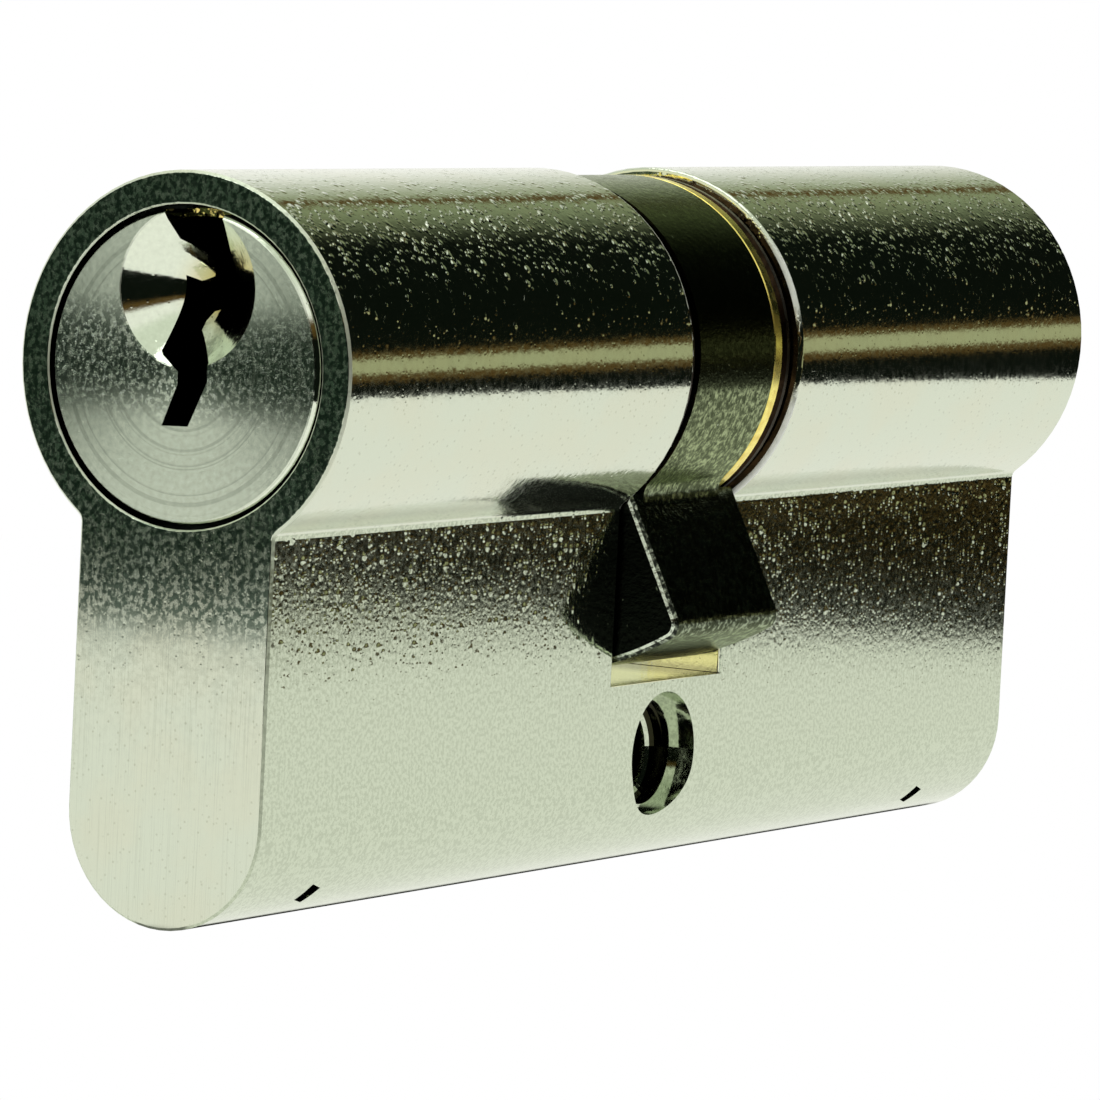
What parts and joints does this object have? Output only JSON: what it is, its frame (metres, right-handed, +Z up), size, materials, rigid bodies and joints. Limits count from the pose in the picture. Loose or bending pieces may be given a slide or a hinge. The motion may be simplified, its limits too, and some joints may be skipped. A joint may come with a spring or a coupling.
{
  "type": "deadbolt lock cylinder",
  "caption": "Euro-profile double cylinder for a door's deadbolt lock: a round barrel on a flat web, a keyed plug at each end and a turning cam between them.",
  "frame": {"origin": "centre of the fixing-screw hole, in the middle of the web", "axes": "+X along the barrel from the outside end to the inside end, +Y along the fixing-screw hole away from the side with the cam's tab, +Z up from the web's foot to the barrel"},
  "size_m": [0.07, 0.017, 0.033],
  "materials": {
    "body_nickel": "nickel plated, fine satin with light handling scratches",
    "plug_nickel": "nickel plated, turned face",
    "cam_iron": "sintered, blackened, finely porous",
    "clutch_steel": "satin",
    "ring_steel": "phosphated spring steel",
    "washer_brass": "plain brass",
    "cap_brass": "pressed in and plated with the body",
    "key_pin_brass": "turned brass",
    "driver_pin_brass": "turned brass",
    "spring_steel": "bright spring wire"
  },
  "bodies": {
    "cylinder_body": {"cylinder_body": "body_nickel", "outside_chamber_caps": "cap_brass", "inside_chamber_caps": "cap_brass", "outside_spring_1": "spring_steel", "outside_spring_2": "spring_steel", "outside_spring_3": "spring_steel", "outside_spring_4": "spring_steel", "outside_spring_5": "spring_steel", "inside_spring_1": "spring_steel", "inside_spring_2": "spring_steel", "inside_spring_3": "spring_steel", "inside_spring_4": "spring_steel", "inside_spring_5": "spring_steel"},
    "outside_plug": {"outside_plug": "plug_nickel", "outside_circlip": "ring_steel"},
    "inside_plug": {"inside_plug": "plug_nickel", "inside_circlip": "ring_steel", "thrust_washer": "washer_brass"},
    "cam": {"cam": "cam_iron"},
    "clutch_slider": {"clutch_slider": "clutch_steel"},
    "outside_key_pin_1": {"outside_key_pin_1": "key_pin_brass"},
    "outside_driver_pin_1": {"outside_driver_pin_1": "driver_pin_brass"},
    "outside_key_pin_2": {"outside_key_pin_2": "key_pin_brass"},
    "outside_driver_pin_2": {"outside_driver_pin_2": "driver_pin_brass"},
    "outside_key_pin_3": {"outside_key_pin_3": "key_pin_brass"},
    "outside_driver_pin_3": {"outside_driver_pin_3": "driver_pin_brass"},
    "outside_key_pin_4": {"outside_key_pin_4": "key_pin_brass"},
    "outside_driver_pin_4": {"outside_driver_pin_4": "driver_pin_brass"},
    "outside_key_pin_5": {"outside_key_pin_5": "key_pin_brass"},
    "outside_driver_pin_5": {"outside_driver_pin_5": "driver_pin_brass"},
    "inside_key_pin_1": {"inside_key_pin_1": "key_pin_brass"},
    "inside_driver_pin_1": {"inside_driver_pin_1": "driver_pin_brass"},
    "inside_key_pin_2": {"inside_key_pin_2": "key_pin_brass"},
    "inside_driver_pin_2": {"inside_driver_pin_2": "driver_pin_brass"},
    "inside_key_pin_3": {"inside_key_pin_3": "key_pin_brass"},
    "inside_driver_pin_3": {"inside_driver_pin_3": "driver_pin_brass"},
    "inside_key_pin_4": {"inside_key_pin_4": "key_pin_brass"},
    "inside_driver_pin_4": {"inside_driver_pin_4": "driver_pin_brass"},
    "inside_key_pin_5": {"inside_key_pin_5": "key_pin_brass"},
    "inside_driver_pin_5": {"inside_driver_pin_5": "driver_pin_brass"}
  },
  "joints": [
    {"name": "outside_plug_turn", "type": "hinge", "parent": "cylinder_body", "child": "outside_plug", "pos_m": [0, 0, 0.0188], "axis": [1, 0, 0], "continuous": true},
    {"name": "inside_plug_turn", "type": "hinge", "parent": "cylinder_body", "child": "inside_plug", "pos_m": [0, 0, 0.0188], "axis": [1, 0, 0], "continuous": true},
    {"name": "cam_turn", "type": "hinge", "parent": "cylinder_body", "child": "cam", "pos_m": [0, 0, 0.0188], "axis": [1, 0, 0], "continuous": true},
    {"name": "clutch_slide", "type": "slide", "parent": "cam", "child": "clutch_slider", "axis": [1, 0, 0], "range_m": [0, 0.00375]},
    {"name": "outside_key_pin_1_lift", "type": "slide", "parent": "outside_plug", "child": "outside_key_pin_1", "axis": [0, 0, 1], "range_m": [0, 0.00381]},
    {"name": "outside_driver_pin_1_push", "type": "slide", "parent": "cylinder_body", "child": "outside_driver_pin_1", "axis": [0, 0, -1], "range_m": [0, 0.00104], "stiffness_N_per_m": 150, "springref_m": -0.002, "deforming": ["outside_spring_1"]},
    {"name": "outside_key_pin_2_lift", "type": "slide", "parent": "outside_plug", "child": "outside_key_pin_2", "axis": [0, 0, 1], "range_m": [0, 0.00281]},
    {"name": "outside_driver_pin_2_push", "type": "slide", "parent": "cylinder_body", "child": "outside_driver_pin_2", "axis": [0, 0, -1], "range_m": [0, 0.00204], "stiffness_N_per_m": 150, "springref_m": -0.002, "deforming": ["outside_spring_2"]},
    {"name": "outside_key_pin_3_lift", "type": "slide", "parent": "outside_plug", "child": "outside_key_pin_3", "axis": [0, 0, 1], "range_m": [0, 0.00431]},
    {"name": "outside_driver_pin_3_push", "type": "slide", "parent": "cylinder_body", "child": "outside_driver_pin_3", "axis": [0, 0, -1], "range_m": [0, 0.00054], "stiffness_N_per_m": 150, "springref_m": -0.002, "deforming": ["outside_spring_3"]},
    {"name": "outside_key_pin_4_lift", "type": "slide", "parent": "outside_plug", "child": "outside_key_pin_4", "axis": [0, 0, 1], "range_m": [0, 0.00241]},
    {"name": "outside_driver_pin_4_push", "type": "slide", "parent": "cylinder_body", "child": "outside_driver_pin_4", "axis": [0, 0, -1], "range_m": [0, 0.00244], "stiffness_N_per_m": 150, "springref_m": -0.002, "deforming": ["outside_spring_4"]},
    {"name": "outside_key_pin_5_lift", "type": "slide", "parent": "outside_plug", "child": "outside_key_pin_5", "axis": [0, 0, 1], "range_m": [0, 0.00331]},
    {"name": "outside_driver_pin_5_push", "type": "slide", "parent": "cylinder_body", "child": "outside_driver_pin_5", "axis": [0, 0, -1], "range_m": [0, 0.00154], "stiffness_N_per_m": 150, "springref_m": -0.002, "deforming": ["outside_spring_5"]},
    {"name": "inside_key_pin_1_lift", "type": "slide", "parent": "inside_plug", "child": "inside_key_pin_1", "axis": [0, 0, 1], "range_m": [0, 0.00331]},
    {"name": "inside_driver_pin_1_push", "type": "slide", "parent": "cylinder_body", "child": "inside_driver_pin_1", "axis": [0, 0, -1], "range_m": [0, 0.00154], "stiffness_N_per_m": 150, "springref_m": -0.002, "deforming": ["inside_spring_1"]},
    {"name": "inside_key_pin_2_lift", "type": "slide", "parent": "inside_plug", "child": "inside_key_pin_2", "axis": [0, 0, 1], "range_m": [0, 0.00431]},
    {"name": "inside_driver_pin_2_push", "type": "slide", "parent": "cylinder_body", "child": "inside_driver_pin_2", "axis": [0, 0, -1], "range_m": [0, 0.00054], "stiffness_N_per_m": 150, "springref_m": -0.002, "deforming": ["inside_spring_2"]},
    {"name": "inside_key_pin_3_lift", "type": "slide", "parent": "inside_plug", "child": "inside_key_pin_3", "axis": [0, 0, 1], "range_m": [0, 0.00241]},
    {"name": "inside_driver_pin_3_push", "type": "slide", "parent": "cylinder_body", "child": "inside_driver_pin_3", "axis": [0, 0, -1], "range_m": [0, 0.00244], "stiffness_N_per_m": 150, "springref_m": -0.002, "deforming": ["inside_spring_3"]},
    {"name": "inside_key_pin_4_lift", "type": "slide", "parent": "inside_plug", "child": "inside_key_pin_4", "axis": [0, 0, 1], "range_m": [0, 0.00381]},
    {"name": "inside_driver_pin_4_push", "type": "slide", "parent": "cylinder_body", "child": "inside_driver_pin_4", "axis": [0, 0, -1], "range_m": [0, 0.00104], "stiffness_N_per_m": 150, "springref_m": -0.002, "deforming": ["inside_spring_4"]},
    {"name": "inside_key_pin_5_lift", "type": "slide", "parent": "inside_plug", "child": "inside_key_pin_5", "axis": [0, 0, 1], "range_m": [0, 0.00281]},
    {"name": "inside_driver_pin_5_push", "type": "slide", "parent": "cylinder_body", "child": "inside_driver_pin_5", "axis": [0, 0, -1], "range_m": [0, 0.00204], "stiffness_N_per_m": 150, "springref_m": -0.002, "deforming": ["inside_spring_5"]}
  ],
  "couplings": [
    {"joint": "cam_turn", "follows": "outside_plug_turn", "ratio": 1}
  ]
}
